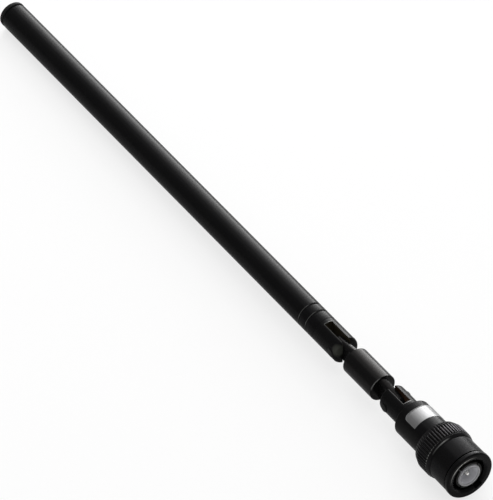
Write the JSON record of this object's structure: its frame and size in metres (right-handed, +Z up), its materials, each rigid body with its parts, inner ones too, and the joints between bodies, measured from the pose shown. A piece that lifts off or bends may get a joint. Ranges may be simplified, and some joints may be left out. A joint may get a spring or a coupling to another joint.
{
  "type": "telescopic antenna with bayonet coaxial plug",
  "caption": "Telescopic rod antenna on a bayonet coaxial plug, with a two-pin folding link between plug and mast and sliding nested sections.",
  "frame": {"origin": "centre of the plug's front face, on the antenna's axis", "axes": "+X out of the plug's front face along the antenna's axis, both hinge pins along Y, forks open along Z, +Z up as it lies"},
  "size_m": [0.2239, 0.0151, 0.015],
  "materials": {
    "black_chrome": "black chrome plate, satin to gloss",
    "seal": "matte",
    "insulator": "milky, smooth",
    "contact_metal": "bright plated",
    "housing_plastic": "smooth, half gloss",
    "label_foil": "brushed silver foil with a black band",
    "spring_steel": "bright",
    "rivet_steel": "black plated",
    "bronze": "bright spring bronze"
  },
  "bodies": {
    "connector": {"plug_body": "black_chrome", "outer_contact": "black_chrome", "gasket": "seal", "insulator": "insulator", "centre_pin": "contact_metal", "housing": "housing_plastic", "label": "label_foil", "lower_fork": "black_chrome", "lower_rivet": "rivet_steel", "spring_washer": "spring_steel"},
    "thrust_ring": {"thrust_washer": "spring_steel"},
    "coupling_ring": {"bayonet_sleeve": "black_chrome", "coupling_shell": "black_chrome"},
    "link": {"link": "black_chrome"},
    "mast": {"mast_fork": "black_chrome", "upper_rivet": "rivet_steel", "tube_1": "black_chrome"},
    "section_2": {"tube_2": "black_chrome", "slide_bush_2": "bronze"},
    "section_3": {"tube_3": "black_chrome", "slide_bush_3": "bronze"},
    "section_4": {"tube_4": "black_chrome", "slide_bush_4": "bronze"},
    "section_5": {"tube_5": "black_chrome", "slide_bush_5": "bronze"},
    "section_6": {"tube_6": "black_chrome", "slide_bush_6": "bronze"},
    "section_7": {"tip_rod": "black_chrome", "slide_bush_7": "bronze", "tip_cap": "black_chrome"}
  },
  "joints": [
    {"name": "ring_draw", "type": "slide", "parent": "connector", "child": "thrust_ring", "axis": [1, 0, 0], "range_m": [0, 0.0006], "stiffness_N_per_m": 1500, "deforming": ["spring_washer"]},
    {"name": "ring_turn", "type": "hinge", "parent": "thrust_ring", "child": "coupling_ring", "pos_m": [0, 0, 0], "axis": [1, 0, 0], "continuous": true},
    {"name": "link_fold", "type": "hinge", "parent": "connector", "child": "link", "pos_m": [-0.0339, 0, 0], "axis": [0, 1, 0], "range_deg": [-90, 90]},
    {"name": "mast_fold", "type": "hinge", "parent": "link", "child": "mast", "pos_m": [-0.0592, 0, 0], "axis": [0, 1, 0], "range_deg": [-90, 90]},
    {"name": "slide_2", "type": "slide", "parent": "mast", "child": "section_2", "axis": [-1, 0, 0], "range_m": [0, 0.1374]},
    {"name": "slide_3", "type": "slide", "parent": "section_2", "child": "section_3", "axis": [-1, 0, 0], "range_m": [0, 0.1374]},
    {"name": "slide_4", "type": "slide", "parent": "section_3", "child": "section_4", "axis": [-1, 0, 0], "range_m": [0, 0.1374]},
    {"name": "slide_5", "type": "slide", "parent": "section_4", "child": "section_5", "axis": [-1, 0, 0], "range_m": [0, 0.1374]},
    {"name": "slide_6", "type": "slide", "parent": "section_5", "child": "section_6", "axis": [-1, 0, 0], "range_m": [0, 0.1374]},
    {"name": "slide_7", "type": "slide", "parent": "section_6", "child": "section_7", "axis": [-1, 0, 0], "range_m": [0, 0.1374]}
  ]
}
